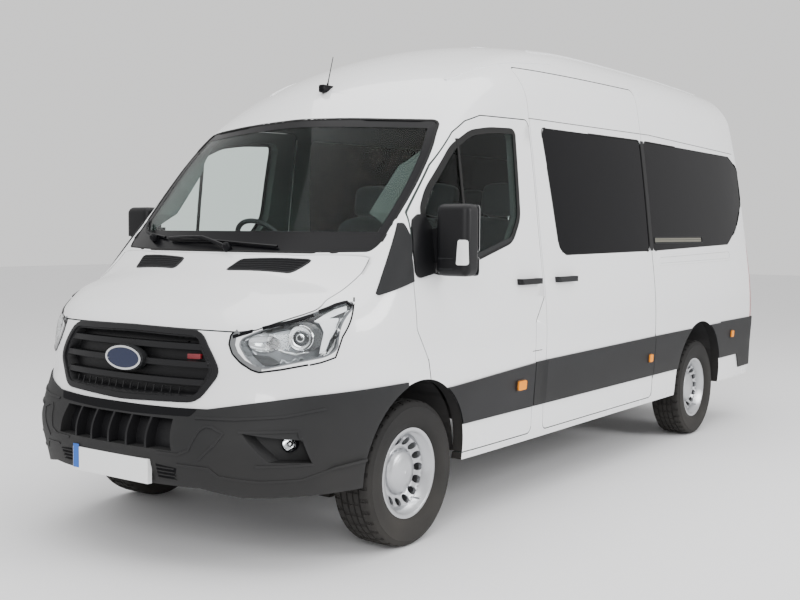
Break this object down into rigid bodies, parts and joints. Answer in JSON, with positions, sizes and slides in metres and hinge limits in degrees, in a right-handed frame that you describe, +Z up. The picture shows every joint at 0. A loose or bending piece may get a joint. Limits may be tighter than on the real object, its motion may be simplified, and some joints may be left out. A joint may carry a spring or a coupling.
{
  "type": "minibus",
  "caption": "Long high-roof minibus in white with dark bumpers, privacy windows, sliding side door, hinged cab doors and rear doors, and a lifting bonnet.",
  "frame": {"origin": "on the ground under the middle of the vehicle's length and width", "axes": "+Z up, the vehicle faces -Y, +X is its left side"},
  "size_m": [2.424, 5.9849, 2.7449],
  "materials": {
    "white_paint": "glossy white paint",
    "dark_plastic": "grained charcoal plastic",
    "lamp_chrome": "bright reflectors",
    "lamp_clear": "clear lens",
    "lamp_red": "red lens",
    "clear_glass": "clear, slightly green",
    "dark_glass": "near-black tint",
    "plate_white": "blank plate",
    "underbody_paint": "satin black",
    "engine_metal": "cast, dull",
    "exhaust_steel": "dull steel",
    "cabin_plastic": "grained dark grey",
    "seat_cloth": "woven dark grey",
    "tyre_rubber": "black rubber",
    "wheel_silver": "silver enamel"
  },
  "bodies": {
    "body": {"roof_panel": "white_paint", "side_panel_left": "white_paint", "side_panel_right": "white_paint", "windscreen_frame": "white_paint", "fenders": "white_paint", "front_panel": "white_paint", "front_bumper": "dark_plastic", "rear_bumper": "dark_plastic", "grille": "dark_plastic", "headlamps": "lamp_chrome", "headlamp_lenses": "lamp_clear", "tail_lamps": "lamp_red", "windscreen": "clear_glass", "privacy_windows": "dark_glass", "sliding_door": "white_paint", "side_trim": "dark_plastic", "plates": "plate_white", "floor_pan": "underbody_paint", "engine": "engine_metal", "front_subframe": "underbody_paint", "rear_axle": "underbody_paint", "leaf_springs": "underbody_paint", "exhaust": "exhaust_steel", "fuel_tank": "underbody_paint", "dashboard": "cabin_plastic", "steering_wheel": "cabin_plastic", "driver_seat": "seat_cloth", "front_passenger_seat": "seat_cloth", "rear_seats": "seat_cloth"},
    "bonnet": {"bonnet": "white_paint"},
    "front_door_left": {"front_door_left": "white_paint", "front_door_window_left": "clear_glass", "door_trim_left": "dark_plastic"},
    "front_door_right": {"front_door_right": "white_paint", "front_door_window_right": "clear_glass", "door_trim_right": "dark_plastic"},
    "rear_door_left": {"rear_door_left": "white_paint", "rear_door_window_left": "dark_glass"},
    "rear_door_right": {"rear_door_right": "white_paint", "rear_door_window_right": "dark_glass"},
    "steer_left": {"knuckle_left": "underbody_paint"},
    "steer_right": {"knuckle_right": "underbody_paint"},
    "wheel_front_left": {"tyre_front_left": "tyre_rubber", "rim_front_left": "wheel_silver"},
    "wheel_front_right": {"tyre_front_right": "tyre_rubber", "rim_front_right": "wheel_silver"},
    "wheel_rear_left": {"tyre_rear_left": "tyre_rubber", "rim_rear_left": "wheel_silver"},
    "wheel_rear_right": {"tyre_rear_right": "tyre_rubber", "rim_rear_right": "wheel_silver"}
  },
  "joints": [
    {"name": "front_door_left_hinge", "type": "hinge", "parent": "body", "child": "front_door_left", "pos_m": [1.03, -2.0045, 1.1], "axis": [0, 0, -1], "range_deg": [0, 68]},
    {"name": "rear_door_left_hinge", "type": "hinge", "parent": "body", "child": "rear_door_left", "pos_m": [0.8975, 2.9305, 1.3725], "axis": [0, 0.0993, -0.9951], "range_deg": [0, 90]},
    {"name": "steering_left", "type": "hinge", "parent": "body", "child": "steer_left", "pos_m": [0.799, -1.9675, 0.356], "axis": [0, 0, 1], "range_deg": [-32, 32]},
    {"name": "wheel_front_left_spin", "type": "hinge", "parent": "steer_left", "child": "wheel_front_left", "pos_m": [0.869, -1.9675, 0.356], "axis": [1, 0, 0], "continuous": true},
    {"name": "wheel_rear_left_spin", "type": "hinge", "parent": "body", "child": "wheel_rear_left", "pos_m": [0.869, 1.7825, 0.356], "axis": [1, 0, 0], "continuous": true},
    {"name": "front_door_right_hinge", "type": "hinge", "parent": "body", "child": "front_door_right", "pos_m": [-1.03, -2.0045, 1.1], "axis": [0, 0, 1], "range_deg": [0, 68]},
    {"name": "rear_door_right_hinge", "type": "hinge", "parent": "body", "child": "rear_door_right", "pos_m": [-0.8975, 2.9305, 1.3725], "axis": [0, -0.0993, 0.9951], "range_deg": [0, 90]},
    {"name": "steering_right", "type": "hinge", "parent": "body", "child": "steer_right", "pos_m": [-0.799, -1.9675, 0.356], "axis": [0, 0, 1], "range_deg": [-32, 32]},
    {"name": "wheel_front_right_spin", "type": "hinge", "parent": "steer_right", "child": "wheel_front_right", "pos_m": [-0.869, -1.9675, 0.356], "axis": [1, 0, 0], "continuous": true},
    {"name": "wheel_rear_right_spin", "type": "hinge", "parent": "body", "child": "wheel_rear_right", "pos_m": [-0.869, 1.7825, 0.356], "axis": [1, 0, 0], "continuous": true},
    {"name": "bonnet_hinge", "type": "hinge", "parent": "body", "child": "bonnet", "pos_m": [0, -2.16, 1.416], "axis": [-1, 0, 0], "range_deg": [0, 50]}
  ],
  "couplings": [
    {"joint": "steering_right", "follows": "steering_left", "ratio": 1}
  ]
}
